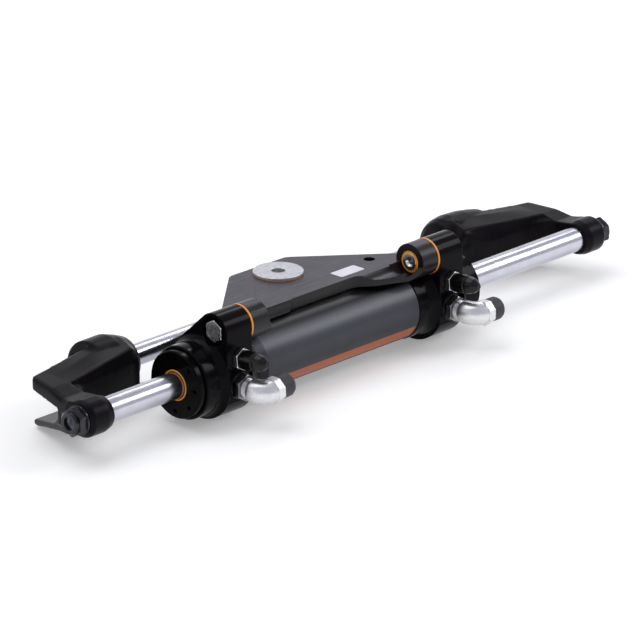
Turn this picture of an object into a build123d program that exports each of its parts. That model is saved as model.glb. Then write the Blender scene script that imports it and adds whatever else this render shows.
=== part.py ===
from build123d import *
import math
import os

# Hydraulic steering cylinder for an outboard engine, in millimetres.
# The origin is on the support rod axis, midway between the two end brackets.
# +X runs along both rods, +Y points away from the hose fittings, +Z is up.

# Rods and span
rod_spacing = 66.0           # support rod axis to piston rod axis, along Y
rod_rise = 2.0               # piston rod axis above the support rod axis
bracket_span = 491.0         # inner face to inner face of the front bosses
piston_rod_r = 9.525
support_rod_r = 7.9375
cylinder_x = -32.9           # centre of the cylinder at rest

# Named clearances
run_fit = 0.05               # radial, between pieces that turn or slide on each other
seat_fit = 0.03              # radial, between pieces that are assembled and stay put
face_gap = 0.15              # along X, between faces that turn past each other
swing_gap = 0.3              # between the plate and the block sleeves it lies on

# Barrel and glands
barrel_r = 25.0
barrel_wall = 3.0
barrel_half = 97.0
chamber_half = 111.4         # inner ends of the glands
block_r = 30.7
block_outer = 120.8          # outer face of an end block, from the cylinder centre
block_width = 24.2
flare_start = 77.5
flare_lip = 0.6              # how far the inboard sleeve stands over the barrel
flare_rise = 4.0             # the sleeve's flare above the barrel, at the block
neck_end = 138.6
neck_r = 26.6
neck_fillet = 8.0
gland_face = 144.4
gland_head_r = 24.5
gland_groove_r = 23.3
gland_groove = 1.2
gland_chamfer = 0.9
wiper_outer_r = 11.1
wiper_length = 4.0
wiper_proud = 0.3
seal_outer_r = 12.5
seal_length = 5.0
seal_inset = 15.0            # gland face to the rod seal
oring_r = 1.25
oring_inset = 4.5            # inner end of the gland to its ring
spanner_hole_r = 1.6
spanner_circle_r = 19.0
spanner_depth = 4.0
spanner_count = 8

# Piston
piston_half = 11.0
piston_gap = 0.25
piston_seal_width = 5.0
clip_width = 2.0
clip_rise = 3.0

# Ear and pivot
ear_y = -14.0                # from the piston rod axis
ear_rise = 11.5              # ear axis above the top of the barrel
ear_r = 13.3
head_recess_r = 11.0
head_recess = 6.2
head_across = 14.3
head_height = 6.0
pivot_r = 6.2
pivot_socket_r = 2.2
pivot_socket = 9.0
pivot_sink = 1.4             # depth and width of the countersink in the bolt's end
bolt_tip = 0.6               # the bolt's end stands this far out of the boss
thrust_flange = 1.5
thrust_flange_r = 13.5
bushing_wall = 1.2
bushing_flange_r = 8.0
bushing_flange = 1.4

# Plate
plate_thickness = 8.4
plate_front = -2.5           # front edge, from the piston rod axis
plate_back = 62.1
plate_back_half = 28.8
plate_side_y = 6.0           # where the slanted side meets the boss end
plate_corner_r = 9.0
boss_length = 16.0
wing_start = 33.0
wing_knee = 45.0
wing_knee_y = -11.5
wing_fillet = 14.0
scoop_r = 11.0               # trough in front of each boss, along the pivot axis
scoop_floor = 4.5            # plate left under the trough
well_r = 10.6                # deeper round well for the bushing's flange and the bolt's end
well_length = 12.0
tiller_y = 41.4
tiller_bore_r = 5.0
tiller_sleeve_r = 7.0
tiller_steel = 0.9           # wall of the washer's steel sleeve inside the bushing
tiller_shim = 0.7
tiller_shim_r = 18.1
tiller_washer_r = 18.3
tiller_washer = 1.7
tiller_edge = 0.3
link_hole_r = 4.25
link_hole_x = 67.2
link_hole_y = 15.1

# Fittings on the front of the end blocks
bleed_z = 17.0
bleed_tilt = 5.0             # degrees that the bleeders point up
spot_r = 8.6                 # spot face under a bleeder
spot_depth = 0.8
port_z = -2.8
fitting_bore_r = 4.9
fitting_hole = 4.4
fitting_foot = 4.0
passage_r = 2.0
bleed_across = 14.3
bleed_hex = 5.6
bleed_stem_r = 4.4
bleed_stem = 10.0
cap_r = 6.9
cap_groove_r = 6.1
cap_neck_r = 5.2
cap_body = 12.0
cap_taper = 7.0
cap_tip = 3.0
cap_tip_r = 2.8
port_thread_r = 6.9
port_washer_r = 9.7
port_washer = 1.3
jam_across = 17.5
jam_height = 6.4
thread_show = 3.4
elbow_r = 8.7
elbow_back = 4.5             # rounded back of the elbow, before its bend
elbow_round = 4.0
elbow_bend = 9.0
elbow_reach = 11.5           # port axis to the end of the outlet
elbow_across = 17.4
elbow_oct = 6.0
elbow_bore_r = 4.0
nipple_r = 6.6
nipple = 4.5
port_cap_r = 8.6
port_cap = 12.0
left_outlet_dip = 5.0        # degrees below level
right_outlet_dip = 0.0

# Brackets; u runs outboard from the inner face, v back from the piston rod, z up from it
front_boss_r = 13.5
front_boss_nose_r = 11.8
front_boss = 22.0
front_boss_edge = 2.4
boss_taper = 6.0
arm_reach = 79.0
foot_level = -block_r        # the heels stand level with the end blocks
web = 8.5
wall = 8.0
corner_u = 14.3              # outer corner of the upper flange
corner_v = 57.0
corner_z = 13.0
corner_round = 7.0
saddle_v = 19.0              # low line of the top between the boss and the crest
saddle_z = 9.6
bay_front = 31.5             # front wall of the arm where it meets the side
bay_r = 18.0
parting_z = -10.0            # the flanges have different outlines above and below this
heel_v = 70.0                # back edge of the lower flange
belly = [(8.0, -13.2), (25.0, -16.3), (52.0, -23.8)]  # underside, (v, z)
heel_start = 65.0
foot_rise = 2.6              # how far the heel rises towards the side
rim_round = 3.2              # rounding of the upper flange's outer rim
sole = 5.9
pocket_start = 24.0
pocket_start_z = 1.0
pocket_low_z = -11.5
pocket_top = 7.0
pocket_fillet = 6.0
end_bevel = 6.0              # length of the bevel at the arm's inboard end
fill_drop = 4.0              # fall of the round corner's top over its own length
# Sections across the arm: front wall, top of the wall, ridge, crest and back edge, as (v, z)
near_section = [(bay_front, 8.0), (bay_front + 1.0, 12.6), (48.0, 13.2), (60.0, 13.6)]
mid_u = -36.0
mid_section = [(38.2, 5.8), (40.2, 13.1), (54.0, 16.2), (65.3, 15.6)]
far_section = [(45.0, 3.6), (47.8, 13.6), (60.0, 18.7), (67.0, 18.7)]
end_section = [(45.3, 2.0), (50.0, 10.2), (60.0, 15.6), (67.0, 16.0)]
# The right arm's front wall has a longer slanted face that turns up to the ridge at its end
turn_u = -50.7
turn_section = [(40.7, 0.6), (43.1, 13.35), (57.0, 17.7), (66.0, 17.6)]
right_far_section = [(45.2, 11.8), (47.8, 13.6), (60.0, 19.0), (67.0, 19.0)]
right_end_section = [(45.6, 7.6), (50.0, 10.2), (60.0, 17.2), (67.0, 17.6)]
rear_boss = 31.0             # the arm's end to the seat of the support nut
# Outlines of the rear bosses, as (distance outboard of the arm's end, radius)
left_rear_boss = [(-6.0, 13.5), (-4.0, 16.8), (2.5, 19.4), (12.0, 22.3), (rear_boss, 22.0)]
right_rear_boss = [(-4.5, 14.5), (-2.0, 18.8), (3.0, 21.0), (11.0, 22.2), (26.0, 21.7), (36.0, 20.3),
                   (45.0, 18.6)]
nut_room_r = 13.0            # clearance round the support nut, under the upper flange
nut_room = 24.0
rod_thread_r = 7.9
rod_thread_end = 28.6
rod_socket_across = 8.0
rod_socket = 6.0

# Nuts
rod_nut_across = 18.4
nut_flange_r = 10.7
nut_flange = 1.7
nut_hex = 6.0
nut_collar = 2.4
nut_collar_r = 8.4
nut_mouth_r = 4.8
support_thread_r = 6.35
support_nut_across = 17.5
support_nut_hex = 9.0
support_nut_flange_r = 10.5

barrel_bore_r = barrel_r - barrel_wall
ear_z = barrel_r + ear_rise
flare_top = barrel_r + flare_rise
block_inner = block_outer - block_width
port_x = block_outer - block_width / 2
block_front = ear_y - ear_r
plate_bottom = barrel_r + flare_lip + swing_gap
plate_top = plate_bottom + plate_thickness
boss_outer = block_inner - thrust_flange - 2 * face_gap
boss_inner = boss_outer - boss_length
boss_bore_r = pivot_r + run_fit + bushing_wall
inner_face = bracket_span / 2


def rod_along_x(radius, x0, x1, y=0.0, z=0.0):
    """A round bar from x0 to x1 with its axis through y, z."""
    return Plane(origin=(x0, y, z), z_dir=(1, 0, 0)) * extrude(Circle(radius), x1 - x0)


def tube_along_x(outer, inner, x0, x1, y=0.0, z=0.0):
    """A ring or tube from x0 to x1."""
    ring = Circle(outer) - Circle(inner)
    return Plane(origin=(x0, y, z), z_dir=(1, 0, 0)) * extrude(ring, x1 - x0)


def hex_along_x(across, x0, x1, y=0.0, z=0.0, corners=0.6):
    """A hexagon bar with its corners turned off at both ends."""
    corner_r = across / math.sqrt(3)
    bar = Plane(origin=(x0, y, z), z_dir=(1, 0, 0)) * extrude(
        RegularPolygon(corner_r, 6), x1 - x0)
    turned = turned_along_x([(x0, 0), (x0, corner_r - corners), (x0 + corners, corner_r),
                             (x1 - corners, corner_r), (x1, corner_r - corners), (x1, 0)])
    return bar & Pos(0, y, z) * turned


def turned_along_x(points):
    """A solid of revolution about X from (x, radius) points."""
    outline = Polyline(*[(x, r) for x, r in points], close=True)
    return revolve(make_face(outline), Axis.X)


def fitting(shape, x, z, tilt=0.0):
    """Lay a fitting that is built along +X on the block's front face, to -Y and up by tilt."""
    return Pos(x, block_front, z) * Rot(-tilt, 0, 0) * Rot(0, 0, -90) * shape


def at_cylinder(shape):
    """Move a piece from the cylinder's own centre to its place at rest."""
    return Pos(cylinder_x, -rod_spacing, rod_rise) * shape


def at_piston_rod(shape):
    """Move a piece from the piston rod's axis to its place."""
    return Pos(0, -rod_spacing, rod_rise) * shape


def both_sides(shape):
    """The piece and its mirror image across the middle."""
    return {"right": shape, "left": mirror(shape, Plane.YZ)}


def piston_rod():
    """Chromed bar with a threaded, socketed stub through each bracket."""
    bar = rod_along_x(piston_rod_r, -inner_face, inner_face)
    stub = rod_along_x(rod_thread_r, inner_face, inner_face + rod_thread_end)
    key = Plane(origin=(inner_face + rod_thread_end - rod_socket, 0, 0), z_dir=(1, 0, 0)) * extrude(
        RegularPolygon(rod_socket_across / math.sqrt(3), 6), rod_socket)
    end = stub - key
    return at_piston_rod(bar + end + mirror(end, Plane.YZ))


def piston():
    """Piston at the middle of the rod, grooved for one seal."""
    body = tube_along_x(barrel_bore_r - piston_gap, piston_rod_r + seat_fit, -piston_half, piston_half)
    groove = tube_along_x(barrel_bore_r + 1, barrel_bore_r - 3.5,
                          -piston_seal_width / 2, piston_seal_width / 2)
    return at_piston_rod(body - groove)


def piston_seal():
    """Seal ring in the piston's groove."""
    half = piston_seal_width / 2 - seat_fit
    ring = tube_along_x(barrel_bore_r - run_fit, barrel_bore_r - 3.5 + seat_fit, -half, half)
    return at_piston_rod(ring)


def piston_clips():
    """Two retaining rings that hold the piston on the rod."""
    clip = tube_along_x(piston_rod_r + clip_rise, piston_rod_r + seat_fit,
                        piston_half + seat_fit, piston_half + clip_width)
    return at_piston_rod(clip + mirror(clip, Plane.YZ))


def support_rod():
    """Rod for the engine's tilt tube, with a shouldered thread at each end."""
    shoulder = inner_face - arm_reach
    bar = rod_along_x(support_rod_r, -shoulder - rear_boss, shoulder + rear_boss)
    end_x = shoulder + rear_boss + nut_flange + support_nut_hex + 2
    stub = rod_along_x(support_thread_r, shoulder + rear_boss, end_x)
    return bar + stub + mirror(stub, Plane.YZ)


def underside(v):
    """Height of the bracket's underside at v, on the belly line."""
    line = [*belly, (heel_start, foot_level)]
    for (v0, z0), (v1, z1) in zip(line, line[1:]):
        if v <= v1:
            break
    return z0 + (z1 - z0) * (v - v0) / (v1 - v0)


def heel(foot):
    """Flat of the lower flange's underside, from its back edge forward, at the given height."""
    return [(heel_v, foot), (heel_start, foot)]


def side_profile():
    """Outline of the bracket's side, looking along the rods, at the piston rod."""
    reach = math.hypot(saddle_v, saddle_z)
    touch = math.atan2(saddle_z, saddle_v) + math.acos(front_boss_nose_r / reach)
    top = [(front_boss_nose_r * math.cos(touch), front_boss_nose_r * math.sin(touch)),
           (saddle_v, saddle_z), *near_section[1:], (heel_v, near_section[-1][1])]
    outline = make_face(Polyline(*top, *heel(foot_level + foot_rise), *reversed(belly), close=True))
    return Circle(front_boss_nose_r) + outline


def upright(points, z0, z1, radii=None):
    """A prism with vertical walls from plan points (u, v), some of them rounded."""
    outline = make_face(Polyline(*[(inner_face + u, v) for u, v in points], close=True))
    for (u, v), radius in (radii or {}).items():
        corner = outline.vertices().sort_by_distance((inner_face + u, v, 0))[0]
        outline = fillet(corner, radius)
    return Pos(0, 0, z0) * extrude(outline, z1 - z0)


def arm_section(u, section, foot=foot_level):
    """Closed section across the arm at u: the given top, over the heel and the sloping sole."""
    front, back = section[0][0], section[-1][0]
    points = [(front, underside(front)), *section, (back, parting_z),
              (heel_v, parting_z), *heel(foot), belly[-1]]
    return Plane(origin=(inner_face + u, 0, 0), x_dir=(0, 1, 0), z_dir=(1, 0, 0)) * make_face(
        Polyline(*points, close=True))


def bracket_side():
    """Side of the channel: from the front boss back to the outer corner."""
    across = Plane(origin=(inner_face, 0, 0), x_dir=(0, 1, 0), z_dir=(1, 0, 0))
    side = across * extrude(side_profile(), front_boss)
    base = [(0, -front_boss_r), (front_boss, -front_boss_r), (front_boss, front_boss_r)]
    corner = (corner_u, corner_v)
    outline = [*base, corner, (0, near_section[-1][0])]
    top = side & upright(outline, parting_z, 2 * corner_z)
    rim = [edge for edge in top.edges()
           if edge.center().Z > saddle_z - rim_round and edge.center().Y > front_boss_r
           and edge.center().X > inner_face + corner_u / 4
           and abs(edge.tangent_at(0.5).X) < 0.5 and abs(edge.tangent_at(0.5).Z) < 0.9]
    top = fillet(rim, rim_round) & upright(outline, parting_z, 2 * corner_z, {corner: corner_round})
    lower = upright([*base, (0, heel_v)], foot_level, parting_z)
    return top + (side & lower)


def bay_corner():
    """Round inner corner between the side and the arm's front wall, its top falling inboard."""
    wall_v = bay_front + bay_r * math.tan(bay_slant())
    block = upright([(0, -front_boss_r), (0, bay_front), (-bay_r, wall_v), (-bay_r, wall_v + wall),
                     (web, bay_front + wall), (web, -front_boss_r)],
                    foot_level, saddle_z, {(0, bay_front): bay_r})
    falling = Plane(origin=(0, 0, 0), x_dir=(1, 0, 0), z_dir=(0, -1, 0)) * make_face(Polyline(
        (inner_face + web, foot_level), (inner_face + web, saddle_z), (inner_face, saddle_z),
        (inner_face - bay_r, saddle_z - fill_drop), (inner_face - bay_r, foot_level), close=True))
    across = Plane(origin=(inner_face - bay_r, 0, 0), x_dir=(0, 1, 0), z_dir=(1, 0, 0))
    return block & extrude(falling, -heel_v) & across * extrude(side_profile(), bay_r + web)


def bay_slant():
    """Angle in plan between the arm's front wall and the rods."""
    return math.atan2(far_section[0][0] - bay_front, arm_reach - end_bevel)


def bracket_pocket():
    """Hollow of the channel, open to the outside and to the back."""
    inner = (web, bay_front + wall)
    plan = upright([(web, pocket_start), inner, (-arm_reach - 1, far_section[0][0] + wall),
                    (-arm_reach - 1, 2 * heel_v), (3 * front_boss, 2 * heel_v), (3 * front_boss, pocket_start)],
                   foot_level, corner_z, {inner: wall})
    profile = Polyline((pocket_start - 1, pocket_start_z), (heel_v, pocket_top),
                       (3 * heel_v, pocket_top), (3 * heel_v, foot_level + sole),
                       (heel_v, foot_level + sole), (pocket_start - 1, pocket_low_z), close=True)
    across = Plane(origin=(0, 0, 0), x_dir=(0, 1, 0), z_dir=(1, 0, 0))
    pocket = plan & across * extrude(make_face(profile), bracket_span)
    coves = [edge for edge in pocket.edges()
             if -arm_reach < edge.center().X - inner_face < web + 1 and edge.center().Y < heel_v - 5
             and not (edge.geom_type == GeomType.LINE and abs(edge.tangent_at(0.5).Z) > 0.9)]
    return fillet(coves, pocket_fillet)


def bracket(middle, far, end, boss_outline):
    """A bracket for the right: a channel casting with a front boss and a rear boss."""
    rear_end = -arm_reach
    arm = loft([arm_section(0, near_section, foot_level + foot_rise), arm_section(*middle),
                arm_section(rear_end + end_bevel, far), arm_section(rear_end, end)], ruled=True)
    casting = bracket_side() + bay_corner() + arm - bracket_pocket()
    front = turned_along_x([(0, 0), (0, front_boss_nose_r), (boss_taper, front_boss_r),
                            (front_boss - front_boss_edge, front_boss_r),
                            (front_boss, front_boss_r - front_boss_edge), (front_boss, 0)])
    boss_end = inner_face + rear_end + rear_boss
    outline = [(rear_end + x, radius) for x, radius in boss_outline]
    rear = turned_along_x([(outline[0][0], 0), *outline, (outline[-1][0], 0)])
    casting += Pos(inner_face, 0, 0) * front + Pos(inner_face, rod_spacing, -rod_rise) * rear
    casting -= rod_along_x(nut_room_r, boss_end, boss_end + nut_room, rod_spacing, -rod_rise)
    casting -= rod_along_x(rod_thread_r + seat_fit, inner_face - 1, inner_face + front_boss + 1)
    casting -= rod_along_x(support_rod_r + seat_fit, inner_face + outline[0][0] - 1, boss_end + 1,
                           rod_spacing, -rod_rise)
    return at_piston_rod(casting)


def rod_nut():
    """Flanged lock nut on the piston rod's stub, with a turned collar."""
    x0 = inner_face + front_boss
    x1 = x0 + nut_flange
    x2 = x1 + nut_hex
    x3 = x2 + nut_collar
    nut = rod_along_x(nut_flange_r, x0, x1) + hex_along_x(rod_nut_across, x1, x2)
    nut += turned_along_x([(x2, 0), (x2, nut_collar_r), (x3 - 1, nut_collar_r),
                           (x3, nut_collar_r - 1), (x3, 0)])
    bore = rod_along_x(rod_thread_r + seat_fit, x0 - 1, inner_face + rod_thread_end + seat_fit)
    mouth = rod_along_x(nut_mouth_r, x0, x3 + 1)
    return at_piston_rod(nut - bore - mouth)


def support_nut():
    """Flanged nut behind the rear boss, on the support rod."""
    x0 = inner_face - arm_reach + rear_boss
    x1 = x0 + nut_flange
    nut = rod_along_x(support_nut_flange_r, x0, x1) + hex_along_x(
        support_nut_across, x1, x1 + support_nut_hex)
    return nut - rod_along_x(support_thread_r + seat_fit, x0 - 1, x1 + support_nut_hex + 1)


def barrel():
    """Drawn tube that seats in both end blocks."""
    return tube_along_x(barrel_r, barrel_bore_r, -barrel_half, barrel_half)


def end_block():
    """Right end block: round body, flat front, ear, outboard neck and inboard sleeve."""
    outline = make_hull([*Circle(block_r).edges(), *(Pos(ear_y, ear_z) * Circle(ear_r)).edges()])
    reach = 3 * block_r
    flat = Pos(block_front + reach / 2, 0) * Rectangle(reach, 2 * reach)
    across = Plane(origin=(block_inner, 0, 0), x_dir=(0, 1, 0), z_dir=(1, 0, 0))
    block = across * extrude(outline & flat, block_width)
    root = neck_r + neck_fillet * 0.45
    neck = make_face(Polyline((block_outer - 1, 0), (block_outer - 1, root), (block_outer, root))
                     + ThreePointArc((block_outer, root),
                                     (block_outer + neck_fillet * 0.3, neck_r + neck_fillet * 0.12),
                                     (block_outer + neck_fillet, neck_r))
                     + Polyline((block_outer + neck_fillet, neck_r), (neck_end - 0.8, neck_r),
                                (neck_end, neck_r - 0.8), (neck_end, 0), (block_outer - 1, 0)))
    lip_r = barrel_r + flare_lip
    sleeve = make_face(Polyline((flare_start, 0), (flare_start, lip_r - 0.5),
                                (flare_start + 0.5, lip_r), (flare_start + 7, lip_r))
                       + ThreePointArc((flare_start + 7, lip_r),
                                       (block_inner - 4.5, lip_r + 0.9),
                                       (block_inner + 1, flare_top))
                       + Polyline((block_inner + 1, flare_top), (block_inner + 1, 0),
                                  (flare_start, 0)))
    block += revolve(neck, Axis.X)
    relief = rod_along_x(thrust_flange_r + swing_gap, flare_start - 1, block_inner, ear_y, ear_z)
    land = Pos(0, 0, lip_r + block_r) * Box(2 * block_inner, 3 * block_r, 2 * block_r)
    block += revolve(sleeve, Axis.X) - relief - land
    block -= rod_along_x(barrel_r + seat_fit, 0, barrel_half + seat_fit)
    block -= rod_along_x(barrel_bore_r, 0, neck_end + 1)
    block -= rod_along_x(pivot_r + seat_fit, 0, block_outer + 1, ear_y, ear_z)
    block -= rod_along_x(head_recess_r, block_outer - head_recess, block_outer + neck_fillet + 1,
                         ear_y, ear_z)
    for z, radius, tilt, sunk in ((bleed_z, fitting_bore_r, bleed_tilt, spot_depth),
                                  (port_z, port_thread_r, 0.0, 0.0)):
        hole = rod_along_x(radius + seat_fit, -fitting_hole - sunk, 1)
        passage = rod_along_x(passage_r, block_front, 0)
        block -= fitting(hole + passage, port_x, z, tilt)
    return block - fitting(rod_along_x(spot_r, -spot_depth, spot_r), port_x, bleed_z, bleed_tilt)


def gland():
    """Right gland: threaded plug with the rod's bore, seal grooves and spanner holes."""
    inner = chamber_half
    plug_r = barrel_bore_r - seat_fit
    head = neck_end + gland_groove
    body = turned_along_x([(inner, 0), (inner, plug_r - 0.8), (inner + 0.8, plug_r),
                           (neck_end, plug_r), (neck_end, gland_groove_r), (head, gland_groove_r),
                           (head, gland_head_r), (gland_face - gland_chamfer, gland_head_r),
                           (gland_face, gland_head_r - gland_chamfer), (gland_face, 0)])
    body -= rod_along_x(piston_rod_r + run_fit, 0, gland_face + 1)
    body -= rod_along_x(wiper_outer_r + run_fit, gland_face - wiper_length, gland_face + 1)
    seal_at = gland_face - seal_inset
    body -= rod_along_x(seal_outer_r + run_fit, seal_at - seal_length - face_gap, seal_at)
    ring_at = chamber_half + oring_inset
    body -= tube_along_x(barrel_bore_r + 1, barrel_bore_r - 2 * oring_r - 2 * run_fit,
                         ring_at - oring_r - run_fit, ring_at + oring_r + run_fit)
    for index in range(spanner_count):
        angle = index * 2 * math.pi / spanner_count
        body -= rod_along_x(spanner_hole_r, gland_face - spanner_depth, gland_face + 1,
                            spanner_circle_r * math.cos(angle), spanner_circle_r * math.sin(angle))
    return body


def gland_ring():
    """Round seal in the gland's outer groove."""
    centre_r = barrel_bore_r - oring_r - run_fit
    section = Plane.XY * (Pos(chamber_half + oring_inset, centre_r) * Circle(oring_r))
    return revolve(section, Axis.X)


def rod_wiper():
    """Bright ring that wipes the rod at the gland's face."""
    return tube_along_x(wiper_outer_r, piston_rod_r + run_fit,
                        gland_face - wiper_length + face_gap, gland_face + wiper_proud)


def rod_seal():
    """Pressure seal inside the gland."""
    seal_at = gland_face - seal_inset - face_gap
    return tube_along_x(seal_outer_r, piston_rod_r + run_fit, seal_at - seal_length, seal_at)


def pivot_bolt():
    """Hex bolt through the ear whose hollow end carries the plate's boss."""
    seat = block_outer - head_recess
    bolt = rod_along_x(pivot_r, boss_inner - bolt_tip, seat)
    bolt += hex_along_x(head_across, seat, seat + head_height)
    tip = boss_inner - bolt_tip
    bolt -= turned_along_x([(tip - 1, 0), (tip - 1, pivot_socket_r + pivot_sink + 1),
                            (tip + pivot_sink, pivot_socket_r), (tip + pivot_socket, pivot_socket_r),
                            (tip + pivot_socket, 0)])
    return Pos(0, ear_y, ear_z) * bolt


def thrust_bushing():
    """Flanged bushing between the ear and the plate's boss."""
    flange_x = boss_outer + thrust_flange
    ring = tube_along_x(thrust_flange_r, pivot_r + run_fit, boss_outer, flange_x)
    sleeve = tube_along_x(boss_bore_r - seat_fit, pivot_r + run_fit,
                          boss_outer - boss_length * 0.4, boss_outer)
    return Pos(0, ear_y, ear_z) * (ring + sleeve)


def pivot_bushing():
    """Small flanged bushing in the inboard end of the boss."""
    ring = tube_along_x(bushing_flange_r, pivot_r + run_fit, boss_inner, boss_inner + bushing_flange)
    sleeve = tube_along_x(boss_bore_r - seat_fit, pivot_r + run_fit,
                          boss_inner + bushing_flange, boss_inner + boss_length * 0.45)
    return Pos(0, ear_y, ear_z) * (ring + sleeve)


def pivot_plate():
    """Plate between the ears: slanted sides, curved wings, two bosses and two scoops."""
    half = [(wing_start, plate_front), (wing_knee, wing_knee_y), (boss_inner + 2, ear_y - ear_r),
            (boss_outer, ear_y - ear_r), (boss_outer, plate_side_y), (plate_back_half, plate_back)]
    outline = make_face(Polyline(*half, *[(-x, y) for x, y in reversed(half)], close=True))
    for side in (-1, 1):
        for (x, y), radius in ((half[0], wing_fillet), (half[1], wing_fillet), (half[5], plate_corner_r)):
            corner = outline.vertices().sort_by_distance((side * x, y, 0))[0]
            outline = fillet(corner, radius)
    plate = Pos(0, 0, plate_bottom) * extrude(outline, plate_thickness)
    front_half = 2 * ear_r
    ahead = Pos(0, ear_y - front_half / 2, ear_z) * Box(2 * boss_outer + 2, front_half, 2 * front_half)
    plate -= ahead - rod_along_x(ear_r, -boss_outer - 2, boss_outer + 2, ear_y, ear_z)
    for side in (-1, 1):
        boss = rod_along_x(ear_r, boss_inner, boss_outer)
        trough_z = plate_bottom + scoop_floor + scoop_r - ear_z
        scoop = rod_along_x(scoop_r, 0, boss_inner, 0, trough_z)
        scoop += rod_along_x(well_r, boss_inner - well_length, boss_inner)
        bore = rod_along_x(boss_bore_r, boss_inner, boss_outer + 1)
        seat = rod_along_x(bushing_flange_r + seat_fit, boss_inner - 1, boss_inner + bushing_flange)
        turn = Rot(0, 0, 0) if side > 0 else Rot(0, 180, 0)
        at_ear = Pos(0, ear_y, ear_z) * turn
        plate = plate + at_ear * boss - at_ear * scoop - at_ear * bore - at_ear * seat
    for x, y, radius in ((0, tiller_y, tiller_sleeve_r + seat_fit),
                         (link_hole_x, link_hole_y, link_hole_r)):
        plate -= Pos(x, y, plate_bottom - 1) * extrude(Circle(radius), plate_thickness + 2)
    return plate


def upright_ring(outer, inner, z0, z1):
    """A washer around the tiller bolt's axis."""
    return Pos(0, tiller_y, z0) * extrude(Circle(outer) - Circle(inner), z1 - z0)


def tiller_bushing():
    """Plastic bushing in the plate, with its flange under the washer."""
    bore_r = tiller_bore_r + tiller_steel + seat_fit
    sleeve = upright_ring(tiller_sleeve_r, bore_r, plate_bottom, plate_top)
    return sleeve + upright_ring(tiller_shim_r, bore_r, plate_top, plate_top + tiller_shim)


def tiller_steel_washer():
    """Steel washer where the tiller bolt's head sits, with a sleeve down through the plate."""
    z0 = plate_top + tiller_shim
    ring = upright_ring(tiller_washer_r, tiller_bore_r, z0, z0 + tiller_washer)
    rim = ring.edges().filter_by(GeomType.CIRCLE).group_by(Axis.Z)[-1]
    sleeve = upright_ring(tiller_bore_r + tiller_steel, tiller_bore_r, plate_bottom, z0)
    return chamfer(rim, tiller_edge) + sleeve


def bleeder():
    """Hex adapter with its threaded foot and the stem inside the cap."""
    body = hex_along_x(bleed_across, 0, bleed_hex)
    body += rod_along_x(fitting_bore_r, -fitting_foot, 0)
    body += turned_along_x([(bleed_hex, 0), (bleed_hex, bleed_stem_r),
                            (bleed_hex + bleed_stem, bleed_stem_r - 0.8),
                            (bleed_hex + bleed_stem, 0)])
    return body - rod_along_x(passage_r * 0.6, -fitting_foot - 1, bleed_hex + bleed_stem - 3)


def bleeder_cap():
    """Rubber dust cap over the bleeder, stepped down to a small tip."""
    x0 = bleed_hex + face_gap
    x1 = x0 + cap_body
    x2 = x1 + cap_taper
    cap = turned_along_x([(x0, 0), (x0, cap_r - 0.6), (x0 + 0.6, cap_r), (x1 - 0.8, cap_r - 0.1),
                          (x1, cap_groove_r), (x1 + 1.0, cap_groove_r), (x1 + 1.6, cap_r - 0.5),
                          (x2 - 1.2, cap_neck_r), (x2, cap_neck_r - 0.8),
                          (x2 + cap_tip - 0.8, cap_tip_r), (x2 + cap_tip, cap_tip_r - 0.8),
                          (x2 + cap_tip, 0)])
    room = turned_along_x([(x0 - 1, 0), (x0 - 1, bleed_stem_r + seat_fit),
                           (bleed_hex + bleed_stem + 1, bleed_stem_r + seat_fit),
                           (bleed_hex + bleed_stem + 1, 0)])
    return cap - room


def port_seal():
    """Washer under the elbow's jam nut."""
    return tube_along_x(port_washer_r, port_thread_r + seat_fit, 0, port_washer)


def jam_nut():
    """Thin nut that locks the elbow at its angle."""
    nut = hex_along_x(jam_across, port_washer, port_washer + jam_height, corners=0.8)
    return nut - rod_along_x(port_thread_r + seat_fit, 0, port_washer + jam_height + 1)


def elbow(dip):
    """Cast elbow: threaded foot, round bend and an octagonal outlet with its nipple."""
    start = port_washer + jam_height + thread_show
    foot = rod_along_x(port_thread_r, -fitting_foot, start)
    for index in range(3):
        crest = start - thread_show + 0.5 + index * 1.1
        foot += tube_along_x(port_thread_r + 0.45, port_thread_r - 1, crest, crest + 0.5)
    bend_start = start + elbow_back
    bend = ThreePointArc((bend_start, 0),
                         (bend_start + elbow_bend * math.sin(math.pi / 4),
                          elbow_bend * (1 - math.cos(math.pi / 4))),
                         (bend_start + elbow_bend, elbow_bend))
    section = Plane(origin=(bend_start, 0, 0), z_dir=(1, 0, 0)) * Circle(elbow_r)
    body = rod_along_x(elbow_r, start, start + elbow_back)
    body = fillet(body.edges().sort_by(Axis.X)[0], elbow_round) + sweep(section, bend)
    axis = start + elbow_back + elbow_bend
    side = Plane(origin=(axis, elbow_bend, 0), z_dir=(0, 1, 0))
    oct_start = elbow_reach - elbow_oct
    outlet = Plane(origin=(axis, 0, 0), z_dir=(0, 1, 0))
    body += side * extrude(Circle(elbow_r), elbow_reach - elbow_bend)
    corner_r = elbow_across / 2 / math.cos(math.pi / 8)
    body += outlet.offset(oct_start) * extrude(
        RegularPolygon(corner_r, 8, rotation=22.5), elbow_oct)
    body += outlet.offset(elbow_reach) * extrude(Circle(nipple_r), nipple)
    body -= outlet * extrude(Circle(elbow_bore_r), elbow_reach + nipple + 1)
    whole = foot + body - rod_along_x(elbow_bore_r, -fitting_foot - 1, axis)
    return Rot(dip, 0, 0) * whole


def port_cover(dip):
    """Cap on the elbow's outlet."""
    axis = port_washer + jam_height + thread_show + elbow_back + elbow_bend
    start = elbow_reach + seat_fit
    cup = turned_along_x([(0, 0), (0, port_cap_r), (port_cap - 3, port_cap_r),
                          (port_cap - 1, port_cap_r - 0.9), (port_cap, port_cap_r - 2.6),
                          (port_cap, 0)])
    cup -= rod_along_x(nipple_r + seat_fit, -1, nipple + 0.5)
    return Rot(dip, 0, 0) * Pos(axis, start, 0) * Rot(0, 0, 90) * cup


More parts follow.
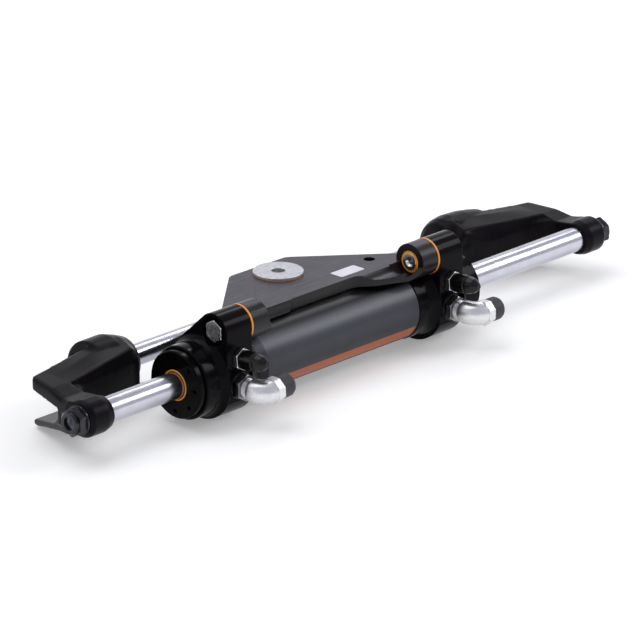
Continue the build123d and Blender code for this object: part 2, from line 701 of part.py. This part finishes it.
def build():
    """All the pieces by node name."""
    nodes = {"piston_rod": piston_rod(), "piston": piston(), "piston_seal": piston_seal(),
             "piston_clips": piston_clips(), "support_rod": support_rod()}
    left = bracket((mid_u, mid_section), far_section, end_section, left_rear_boss)
    nodes["bracket_left"] = mirror(left, Plane.YZ)
    nodes["bracket_right"] = bracket((turn_u, turn_section), right_far_section, right_end_section,
                                     right_rear_boss)
    for side, shape in both_sides(rod_nut()).items():
        nodes["rod_nut_" + side] = shape
    for side, shape in both_sides(support_nut()).items():
        nodes["support_nut_" + side] = shape
    carried = {"end_block": end_block(), "gland": gland(), "gland_ring": gland_ring(),
               "rod_wiper": rod_wiper(), "rod_seal": rod_seal(), "pivot_bolt": pivot_bolt(),
               "thrust_bushing": thrust_bushing(), "pivot_bushing": pivot_bushing()}
    for name, shape in carried.items():
        for side, half in both_sides(shape).items():
            nodes[name + "_" + side] = at_cylinder(half)
    for name, shape in {"barrel": barrel(), "pivot_plate": pivot_plate(),
                        "tiller_bushing": tiller_bushing(),
                        "tiller_washer": tiller_steel_washer()}.items():
        nodes[name] = at_cylinder(shape)
    for side, sign, dip in (("left", -1, left_outlet_dip), ("right", 1, right_outlet_dip)):
        x = sign * port_x
        for name, shape in (("bleeder_", bleeder()), ("bleeder_cap_", bleeder_cap())):
            sunk = Pos(-spot_depth, 0, 0) * shape
            nodes[name + side] = at_cylinder(fitting(sunk, x, bleed_z, bleed_tilt))
        nodes["port_seal_" + side] = at_cylinder(fitting(port_seal(), x, port_z))
        nodes["jam_nut_" + side] = at_cylinder(fitting(jam_nut(), x, port_z))
        nodes["elbow_" + side] = at_cylinder(fitting(elbow(dip), x, port_z))
        nodes["port_cap_" + side] = at_cylinder(fitting(port_cover(dip), x, port_z))
    return nodes


if __name__ == "__main__":
    os.makedirs("parts", exist_ok=True)
    for name, shape in build().items():
        export_step(shape, "parts/" + name + ".step")
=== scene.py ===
import math

import bmesh
import bpy
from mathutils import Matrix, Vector


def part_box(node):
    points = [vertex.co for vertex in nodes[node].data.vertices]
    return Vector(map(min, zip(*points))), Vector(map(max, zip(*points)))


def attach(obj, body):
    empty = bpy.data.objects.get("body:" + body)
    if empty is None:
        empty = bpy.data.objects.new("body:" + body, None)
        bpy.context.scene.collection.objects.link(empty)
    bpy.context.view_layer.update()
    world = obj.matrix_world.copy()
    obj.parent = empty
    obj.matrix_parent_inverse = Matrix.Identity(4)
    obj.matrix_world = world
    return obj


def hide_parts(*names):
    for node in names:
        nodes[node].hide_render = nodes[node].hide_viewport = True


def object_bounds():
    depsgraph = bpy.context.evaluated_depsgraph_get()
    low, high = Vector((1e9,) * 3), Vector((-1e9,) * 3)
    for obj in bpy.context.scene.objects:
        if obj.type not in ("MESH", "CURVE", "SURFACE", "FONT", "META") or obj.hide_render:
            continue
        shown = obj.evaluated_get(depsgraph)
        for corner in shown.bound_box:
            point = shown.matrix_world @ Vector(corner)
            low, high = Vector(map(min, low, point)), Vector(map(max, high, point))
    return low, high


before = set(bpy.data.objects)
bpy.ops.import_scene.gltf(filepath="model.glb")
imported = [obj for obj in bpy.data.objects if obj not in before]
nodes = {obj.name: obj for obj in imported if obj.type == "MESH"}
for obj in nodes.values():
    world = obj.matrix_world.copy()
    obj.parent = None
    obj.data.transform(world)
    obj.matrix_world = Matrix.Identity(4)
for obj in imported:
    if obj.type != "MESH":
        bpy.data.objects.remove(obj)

# Everything is in metres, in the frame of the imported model: +X along the rods, +Y to the back, +Z up.
MM = 0.001
cad_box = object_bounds()

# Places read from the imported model
barrel_low, barrel_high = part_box("barrel")
barrel_mid = (barrel_low + barrel_high) / 2
rod_mid = sum(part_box("piston_rod"), Vector()) / 2
floor_z = cad_box[0][2]

# The plain print on the barrel, with painted shadow and painted light over it; angles are below the
# horizontal line along the barrel's front
STRIPE_TOP = math.radians(23.1)
STRIPE_BOTTOM = math.radians(45.0)
STRIPE_SOFT = 0.008                  # softness of the stripe's long edges, in radians
STRIPE_SLANT = 4.2 * MM              # slant of the stripe's ends, a radian of the barrel
STRIPE_LEFT = 85.8 * MM              # the stripe's ends, from the middle of the barrel
STRIPE_RIGHT = 76.1 * MM
PRINT_SOFT = 0.2 * MM                # softness of an edge where one colour meets the next
PRINT_FROM = -119.5 * MM             # where the print begins, on the left end block
# Painted shadow: between these angles the print darkens to near black along the barrel's top, under the
# plate
PAINTED_SHADOW_ANGLES = (math.radians(-60), math.radians(-49))
# Painted light: from these angles the print fades from bright, just below the painted shadow, down to its
# own blue-grey
PAINTED_LIGHT_ANGLES = (math.radians(-47), math.radians(8))
STRIPE_ORANGE = (0.50, 0.100, 0.016)
# Colour of the painted shadow, then colour of the painted light, then the print's own blue-grey
PAINTED_SHADOW_COLOUR = (0.0015, 0.0015, 0.0018)
PAINTED_LIGHT_COLOUR = (0.084, 0.088, 0.106)
PRINT_BASE = (0.019, 0.022, 0.031)

# Other paint
PAINT_TINT = (0.95, 0.86, 1.0, 1)    # the black paint's sheen is a little purple
LIP_R = 10.2 * MM                    # the wiper is dark from the rod out to here
LIP_DARK = (0.006, 0.006, 0.007)
PLATE_SIDE = (0.0055, 0.0042, 0.0055)
PLATE_UPWARD = (0.90, 0.985)         # upward part of the normal where paint gives way to bare metal

# Grain of the finishes
TONES = (0.35, 0.65)                 # the part of a noise's range between its two tones
MOTTLE_DETAIL = 4.0
GRAIN_DETAIL = 3.0
EDGE_SAMPLES = 6

# Pieces made here, in mm
CAST_VOXEL = 0.8
CAST_ROUNDS = 6
CAST_EASE = 0.5
CAST_WELD = 0.002
STICKER_AT = (4.6, -57.4)
STICKER_LONG = 24.4
STICKER_WIDE = 11.8
STICKER_THICK = 0.12
STICKER_CORNER = 0.8
STICKER_CORNER_STEPS = 4
BUSHING_PROUD = 0.7                  # how far the tiller bushing stands out of the plate's face

# Stage and light
FLOOR_HALF = 6.0
FLOOR_COLOUR = (0.90, 0.90, 0.91, 1)
FLOOR_ROUGH = 0.9
FLOOR_LIFT = 0.26                    # glow added to the floor as it is seen, over what lights it
SOFT_LEVEL = 0.54
SOFT_COLOUR = (0.96, 0.97, 1.0, 1)
WHITE = (1, 1, 1)
BACKDROP_BEHIND = [(0.00, WHITE), (0.22, WHITE), (0.36, (0.78, 0.78, 0.85)),
                   (0.50, (0.62, 0.62, 0.69)), (1.00, (0.45, 0.45, 0.50))]
BACKDROP_BEFORE = [(0.00, (0.9, 0.9, 0.95)), (0.05, (0.9, 0.9, 0.95)), (0.09, (0.40, 0.40, 0.47)),
                   (0.20, (0.56, 0.56, 0.64)), (1.00, (0.50, 0.50, 0.56))]
BACKDROP_TURN = (-0.25, 0.25)        # where the backdrop turns from before to behind, along Y
SOFTBOXES = [                        # name, direction, distance, width, height, brightness
    ("front_window", (0.673, -0.50, 0.54), 2.2, 0.8, 0.7, 5.0),
    ("rear_window", (0.673, 0.29, 0.68), 2.2, 0.8, 0.35, 4.0),
    ("overhead", (-0.15, 0.30, 1.0), 2.0, 1.8, 1.8, 1.4),
]

# The photograph's viewpoint
PHOTO_PIXELS = 640
FOCAL_PIXELS = 4256.95
SENSOR = 36.0
FAR_CLIP = 50.0
CAMERA_AT = Vector((-2084.1, -2027.6, 1061.1)) * MM
LOOK_AT = Vector((-32.9, -66.0, 11.25)) * MM


# Shader building

def link(tree, source, target):
    """Join two sockets."""
    tree.links.new(source, target)


def ramp(tree, factor, stops):
    """A colour ramp fed by factor, with (place, colour) stops."""
    node = tree.nodes.new("ShaderNodeValToRGB")
    elements = node.color_ramp.elements
    elements[0].position, elements[0].color = stops[0][0], (*stops[0][1], 1)
    elements[1].position, elements[1].color = stops[-1][0], (*stops[-1][1], 1)
    for place, colour in stops[1:-1]:
        element = elements.new(place)
        element.color = (*colour, 1)
    link(tree, factor, node.inputs["Fac"])
    return node.outputs["Color"]


def spread(tree, factor, low, high, start, end):
    """Map a factor from start..end to low..high, held at the ends."""
    node = tree.nodes.new("ShaderNodeMapRange")
    node.inputs["From Min"].default_value = start
    node.inputs["From Max"].default_value = end
    node.inputs["To Min"].default_value = low
    node.inputs["To Max"].default_value = high
    link(tree, factor, node.inputs["Value"])
    return node.outputs["Result"]


def calc(tree, operation, first, second=None):
    """One math step; each term is a socket or a number."""
    node = tree.nodes.new("ShaderNodeMath")
    node.operation = operation
    for term, socket in zip((first, second), node.inputs):
        if isinstance(term, (int, float)):
            socket.default_value = term
        elif term is not None:
            link(tree, term, socket)
    return node.outputs["Value"]


def axes(tree, coordinate):
    """One of the texture coordinates, as three sockets."""
    place = tree.nodes.new("ShaderNodeTexCoord")
    apart = tree.nodes.new("ShaderNodeSeparateXYZ")
    link(tree, place.outputs[coordinate], apart.inputs["Vector"])
    return apart.outputs["X"], apart.outputs["Y"], apart.outputs["Z"]


def band(tree, value, low, high, soft):
    """1 where value lies between low and high, 0 outside, with edges soft wide."""
    rise = spread(tree, value, 0, 1, low - soft / 2, low + soft / 2)
    fall = spread(tree, value, 1, 0, high - soft / 2, high + soft / 2)
    return calc(tree, "MULTIPLY", rise, fall)


def beyond(tree, value, limit):
    """0 below the limit and 1 above it, with an edge as soft as print."""
    return spread(tree, value, 0, 1, limit - PRINT_SOFT / 2, limit + PRINT_SOFT / 2)


def blend_colour(tree, factor, below, above):
    """Mix two colours, each a socket or an RGB triple."""
    node = tree.nodes.new("ShaderNodeMix")
    node.data_type = "RGBA"
    link(tree, factor, node.inputs["Factor"])
    for colour, socket in ((below, node.inputs["A"]), (above, node.inputs["B"])):
        if isinstance(colour, tuple):
            socket.default_value = (*colour, 1)
        else:
            link(tree, colour, socket)
    return node.outputs["Result"]


def noise(tree, per_metre, detail, stretch=(1, 1, 1)):
    """Noise in object space, with about per_metre features a metre, stretched along the axes."""
    place = tree.nodes.new("ShaderNodeTexCoord")
    mapping = tree.nodes.new("ShaderNodeMapping")
    mapping.inputs["Scale"].default_value = stretch
    node = tree.nodes.new("ShaderNodeTexNoise")
    node.inputs["Scale"].default_value = per_metre
    node.inputs["Detail"].default_value = detail
    link(tree, place.outputs["Object"], mapping.inputs["Vector"])
    link(tree, mapping.outputs["Vector"], node.inputs["Vector"])
    return node.outputs["Fac"]


def surface(name, colours, rough, metallic=0.0, specular=0.5, mottle=90, grain=900, stretch=(1, 1, 1),
            relief=0.02, edge=0.4):
    """A finish: colour that wanders between two tones, a grain in its gloss and height, eased edges.

    mottle and grain are features a metre, relief is the grain's height and edge the eased edge, in mm.
    """
    material = bpy.data.materials.new(name)
    material.use_nodes = True
    tree = material.node_tree
    shader = tree.nodes["Principled BSDF"]
    shader.inputs["Metallic"].default_value = metallic
    shader.inputs["Specular IOR Level"].default_value = specular
    tones = list(zip(TONES, colours))
    link(tree, ramp(tree, noise(tree, mottle, MOTTLE_DETAIL), tones), shader.inputs["Base Color"])
    fine = noise(tree, grain, GRAIN_DETAIL, stretch)
    link(tree, spread(tree, fine, *rough, *TONES), shader.inputs["Roughness"])
    height = tree.nodes.new("ShaderNodeBump")
    height.inputs["Strength"].default_value = 1.0
    height.inputs["Distance"].default_value = relief * MM
    link(tree, fine, height.inputs["Height"])
    eased = tree.nodes.new("ShaderNodeBevel")
    eased.samples = EDGE_SAMPLES
    eased.inputs["Radius"].default_value = edge * MM
    link(tree, eased.outputs["Normal"], height.inputs["Normal"])
    link(tree, height.outputs["Normal"], shader.inputs["Normal"])
    return material


def recolour(material, paint):
    """Replace a finish's colour by paint(tree, old colour socket)."""
    tree = material.node_tree
    target = tree.nodes["Principled BSDF"].inputs["Base Color"]
    link(tree, paint(tree, target.links[0].from_socket), target)


def barrel_print_with_painted_shade(tree, base):
    """Plain print round the barrel: blue-grey with an orange stripe in front, under a painted shadow along
    its top where the plate shades it and painted light just below that, fading down to the print's own
    colour.
    """
    x, y, z = axes(tree, "Object")
    across = calc(tree, "SUBTRACT", barrel_mid.y, y)
    down = calc(tree, "SUBTRACT", barrel_mid.z, z)
    angle = calc(tree, "ARCTAN2", down, across)
    slant = calc(tree, "MULTIPLY", calc(tree, "SUBTRACT", angle, STRIPE_TOP), STRIPE_SLANT)
    along = calc(tree, "ADD", x, slant)
    length = band(tree, along, barrel_mid.x - STRIPE_LEFT, barrel_mid.x + STRIPE_RIGHT, PRINT_SOFT)
    stripe = calc(tree, "MULTIPLY", band(tree, angle, STRIPE_TOP, STRIPE_BOTTOM, STRIPE_SOFT), length)
    # Painted light, then painted shadow, over the print's own colour
    lit = blend_colour(tree, spread(tree, angle, 0, 1, *PAINTED_LIGHT_ANGLES), PAINTED_LIGHT_COLOUR, base)
    shaded = blend_colour(tree, spread(tree, angle, 0, 1, *PAINTED_SHADOW_ANGLES), PAINTED_SHADOW_COLOUR, lit)
    return blend_colour(tree, stripe, shaded, STRIPE_ORANGE)


def print_with_painted_shade_over_end(tree, black):
    """The left end block: black, with the barrel's print, its painted shadow and its painted light over its
    inboard end.
    """
    x = axes(tree, "Object")[0]
    return blend_colour(tree, beyond(tree, x, PRINT_FROM), black, barrel_print_with_painted_shade(tree, PRINT_BASE))


def dark_lip(tree, polymer):
    """The wiper: dark from the rod out to a set radius, orange beyond."""
    _, y, z = axes(tree, "Object")
    across = calc(tree, "SUBTRACT", y, rod_mid.y)
    down = calc(tree, "SUBTRACT", z, rod_mid.z)
    squares = calc(tree, "ADD", calc(tree, "MULTIPLY", across, across), calc(tree, "MULTIPLY", down, down))
    return blend_colour(tree, beyond(tree, calc(tree, "SQRT", squares), LIP_R), LIP_DARK, polymer)


def bare_top(tree, metal):
    """The plate: bare metal where it faces up, dark paint on its sides."""
    upward = axes(tree, "Normal")[2]
    return blend_colour(tree, spread(tree, upward, 0, 1, *PLATE_UPWARD), PLATE_SIDE, metal)


# Finishes

def block_finish(name):
    """Smooth black paint, for the end blocks."""
    return surface(name, [(0.0034, 0.0029, 0.0035), (0.0046, 0.0040, 0.0047)], (0.12, 0.17),
                   specular=0.06, relief=0.0010, edge=0.5)


def orange_finish(name):
    """Orange bearing polymer, for the bushings and the wipers."""
    return surface(name, [(0.92, 0.31, 0.008), (0.98, 0.36, 0.012)], (0.35, 0.48),
                   grain=1500, relief=0.004, edge=0.15)


casting = surface("black_casting", [(0.0040, 0.0033, 0.0042), (0.0060, 0.0050, 0.0062)], (0.27, 0.36),
                  specular=0.085, grain=1600, relief=0.006, edge=0.8)
block_black = block_finish("black_block")
block_left = block_finish("black_block_left")
# The left block's inboard end carries the barrel's print with its painted shadow and painted light
recolour(block_left, print_with_painted_shade_over_end)
for painted in (casting, block_black, block_left):
    painted.node_tree.nodes["Principled BSDF"].inputs["Specular Tint"].default_value = PAINT_TINT
gloss_black = surface("gloss_black", [(0.0020, 0.0020, 0.0022), (0.0028, 0.0028, 0.0031)], (0.12, 0.16),
                      specular=0.055, grain=700, relief=0.001, edge=0.3)
plate_metal = surface("brushed_plate", [(0.0400, 0.0355, 0.0480), (0.0540, 0.0490, 0.0640)], (0.26, 0.40),
                      specular=0.30, stretch=(0.03, 1, 1), relief=0.003, edge=0.5)
recolour(plate_metal, bare_top)
barrel_coat = surface("barrel_coat", [(0.0165, 0.0195, 0.0275), (0.0215, 0.0250, 0.0345)], (0.30, 0.34),
                      specular=0.34, grain=1200, relief=0.001, edge=0.2)
# The barrel's print, with its painted shadow and painted light
recolour(barrel_coat, barrel_print_with_painted_shade)
chrome = surface("chrome_rod", [(0.57, 0.575, 0.635), (0.62, 0.625, 0.69)], (0.19, 0.24), metallic=1.0,
                 grain=500, stretch=(0.15, 1, 1), relief=0.0003, edge=0.3)
steel = surface("plain_steel", [(0.70, 0.70, 0.71), (0.76, 0.76, 0.77)], (0.20, 0.26), metallic=1.0,
                mottle=200, grain=300, relief=0.001, edge=0.5)
washer_steel = surface("washer_steel", [(0.56, 0.56, 0.59), (0.72, 0.72, 0.75)], (0.36, 0.48), metallic=1.0,
                       mottle=400, relief=0.006, edge=0.3)
dark_steel = surface("dark_steel", [(0.035, 0.035, 0.039), (0.055, 0.055, 0.060)], (0.12, 0.18),
                     metallic=1.0, mottle=200, grain=300, relief=0.001, edge=0.6)
nut_steel = surface("nut_steel", [(0.20, 0.20, 0.205), (0.30, 0.30, 0.305)], (0.18, 0.26), metallic=1.0,
                    mottle=200, grain=300, relief=0.001, edge=0.6)
cast_silver = surface("cast_fitting", [(0.70, 0.70, 0.71), (0.80, 0.80, 0.81)], (0.28, 0.38), metallic=1.0,
                      mottle=420, relief=0.006, edge=0.6)
orange = orange_finish("orange_polymer")
wiper = orange_finish("orange_wiper")
recolour(wiper, dark_lip)
rubber = surface("cap_rubber", [(0.0022, 0.0022, 0.0024), (0.0034, 0.0034, 0.0037)], (0.18, 0.26),
                 specular=0.3, grain=260, relief=0.012, edge=0.6)
cap_polymer = surface("cap_polymer", [(0.040, 0.039, 0.046), (0.050, 0.049, 0.056)], (0.48, 0.60),
                      specular=0.35, grain=1600, relief=0.008, edge=0.5)
seal_rubber = surface("dark_rubber", [(0.010, 0.010, 0.011), (0.016, 0.016, 0.017)], (0.5, 0.6),
                      grain=1500, relief=0.008, edge=0.2)
paper = surface("pale_sticker", [(0.76, 0.76, 0.82), (0.82, 0.82, 0.88)], (0.45, 0.55), grain=1500,
                relief=0.003, edge=0.05)

dress = {"piston_rod": chrome, "support_rod": chrome, "piston": steel, "piston_seal": seal_rubber,
         "piston_clips": steel, "barrel": barrel_coat, "pivot_plate": plate_metal, "tiller_bushing": orange,
         "tiller_washer": washer_steel}
for part, finish in {"bracket": casting, "rod_nut": dark_steel, "support_nut": dark_steel,
                     "end_block": block_black, "gland": gloss_black, "gland_ring": seal_rubber,
                     "rod_wiper": wiper, "rod_seal": seal_rubber, "pivot_bolt": steel,
                     "thrust_bushing": orange, "pivot_bushing": orange, "bleeder": steel,
                     "bleeder_cap": rubber, "port_seal": seal_rubber, "jam_nut": nut_steel,
                     "elbow": cast_silver, "port_cap": cap_polymer}.items():
    for side in ("left", "right"):
        dress[part + "_" + side] = finish
dress["end_block_left"] = block_left
for name, finish in dress.items():
    nodes[name].data.materials.clear()
    nodes[name].data.materials.append(finish)


# Pieces made here

def placed(name, data):
    """A new object in the scene."""
    piece = bpy.data.objects.new(name, data)
    bpy.context.scene.collection.objects.link(piece)
    return piece


def applied(piece):
    """Turn a piece's modifiers into its mesh."""
    bpy.context.view_layer.update()
    done = bpy.data.meshes.new_from_object(piece.evaluated_get(bpy.context.evaluated_depsgraph_get()))
    piece.modifiers.clear()
    piece.data = done
    done.polygons.foreach_set("use_smooth", [True] * len(done.polygons))


def cast(node):
    """A casting in place of its node, with the soft edges and run-out corners of poured metal."""
    mesh = nodes[node].data.copy()
    shape = bmesh.new()
    shape.from_mesh(mesh)
    bmesh.ops.remove_doubles(shape, verts=shape.verts, dist=CAST_WELD * MM)
    shape.to_mesh(mesh)
    shape.free()
    piece = placed(node + "_casting", mesh)
    skin = piece.modifiers.new("skin", "REMESH")
    skin.mode = "VOXEL"
    skin.voxel_size = CAST_VOXEL * MM
    ease = piece.modifiers.new("ease", "SMOOTH")
    ease.factor = CAST_EASE
    ease.iterations = CAST_ROUNDS
    applied(piece)
    piece.data.materials.clear()
    piece.data.materials.append(dress[node])
    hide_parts(node)
    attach(piece, "frame")


def sticker():
    """A plain pale sticker on the plate's top."""
    plate_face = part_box("tiller_bushing")[1].z - BUSHING_PROUD * MM
    half_long, half_wide = STICKER_LONG / 2, STICKER_WIDE / 2
    corners = [(-half_long, -half_wide), (half_long, -half_wide), (half_long, half_wide),
               (-half_long, half_wide)]
    shape = bmesh.new()
    rim = [shape.verts.new((STICKER_AT[0] * MM + x * MM, STICKER_AT[1] * MM + y * MM, plate_face))
           for x, y in corners]
    shape.faces.new(rim)
    bmesh.ops.bevel(shape, geom=list(shape.verts), offset=STICKER_CORNER * MM,
                    segments=STICKER_CORNER_STEPS, affect="VERTICES")
    risen = bmesh.ops.extrude_face_region(shape, geom=list(shape.faces))
    for part in risen["geom"]:
        if isinstance(part, bmesh.types.BMVert):
            part.co.z += STICKER_THICK * MM
    bmesh.ops.recalc_face_normals(shape, faces=shape.faces)
    mesh = bpy.data.meshes.new("sticker")
    shape.to_mesh(mesh)
    shape.free()
    mesh.materials.append(paper)
    piece = placed("sticker", mesh)
    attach(piece, "plate")


cast("bracket_left")
cast("bracket_right")
sticker()


# Stage, light and camera

def seen_or_mirrored(tree):
    """1 for rays from the camera and for mirrored and transmitted ones, 0 for soft light."""
    path = tree.nodes.new("ShaderNodeLightPath")
    mirrored = calc(tree, "MAXIMUM", path.outputs["Is Glossy Ray"], path.outputs["Is Transmission Ray"])
    return calc(tree, "MAXIMUM", path.outputs["Is Camera Ray"], mirrored)


def make_floor():
    """Pale floor, white to the camera and in reflections, and still holding the object's shadow."""
    corners = [(-FLOOR_HALF, -FLOOR_HALF, floor_z), (FLOOR_HALF, -FLOOR_HALF, floor_z),
               (FLOOR_HALF, FLOOR_HALF, floor_z), (-FLOOR_HALF, FLOOR_HALF, floor_z)]
    mesh = bpy.data.meshes.new("floor")
    mesh.from_pydata(corners, [], [(0, 1, 2, 3)])
    floor = placed("floor", mesh)
    material = bpy.data.materials.new("floor")
    material.use_nodes = True
    tree = material.node_tree
    shader = tree.nodes["Principled BSDF"]
    shader.inputs["Base Color"].default_value = FLOOR_COLOUR
    shader.inputs["Roughness"].default_value = FLOOR_ROUGH
    shader.inputs["Specular IOR Level"].default_value = 0.0
    shader.inputs["Emission Color"].default_value = (*WHITE, 1)
    lift = calc(tree, "MULTIPLY", seen_or_mirrored(tree), FLOOR_LIFT)
    link(tree, lift, shader.inputs["Emission Strength"])
    mesh.materials.append(material)


def make_world():
    """Studio surroundings: a backdrop, white near the horizon and greyer above, and a plain soft light."""
    world = bpy.data.worlds.new("studio")
    bpy.context.scene.world = world
    world.use_nodes = True
    tree = world.node_tree
    tree.nodes.clear()
    _, depth, height = axes(tree, "Generated")
    behind = ramp(tree, height, BACKDROP_BEHIND)
    before = ramp(tree, height, BACKDROP_BEFORE)
    turn = spread(tree, depth, 0, 1, *BACKDROP_TURN)
    backdrop = tree.nodes.new("ShaderNodeBackground")
    link(tree, blend_colour(tree, turn, before, behind), backdrop.inputs["Color"])
    soft = tree.nodes.new("ShaderNodeBackground")
    soft.inputs["Color"].default_value = SOFT_COLOUR
    soft.inputs["Strength"].default_value = SOFT_LEVEL
    mix = tree.nodes.new("ShaderNodeMixShader")
    link(tree, seen_or_mirrored(tree), mix.inputs["Fac"])
    link(tree, soft.outputs["Background"], mix.inputs[1])
    link(tree, backdrop.outputs["Background"], mix.inputs[2])
    output = tree.nodes.new("ShaderNodeOutputWorld")
    link(tree, mix.outputs["Shader"], output.inputs["Surface"])


def face(holder, direction):
    """Turn a lamp or the camera so that it looks along direction."""
    holder.rotation_euler = direction.to_track_quat("-Z", "Y").to_euler()


def softbox(name, direction, distance, width, height, brightness):
    """A softbox in a direction from the object, facing it."""
    lamp = bpy.data.lights.new(name, "AREA")
    lamp.shape = "RECTANGLE"
    lamp.size = width
    lamp.size_y = height
    lamp.energy = brightness * math.pi * width * height
    holder = placed(name, lamp)
    holder.location = Vector(direction).normalized() * distance
    face(holder, -holder.location)


def make_camera():
    """Camera at the photograph's viewing angle."""
    data = bpy.data.cameras.new("camera")
    data.sensor_width = SENSOR
    data.lens = FOCAL_PIXELS / PHOTO_PIXELS * SENSOR
    data.clip_end = FAR_CLIP
    camera = placed("camera", data)
    camera.location = CAMERA_AT
    face(camera, LOOK_AT - CAMERA_AT)
    bpy.context.scene.camera = camera


make_floor()
make_world()
for box in SOFTBOXES:
    softbox(*box)
make_camera()
bpy.context.scene.view_settings.view_transform = "Standard"
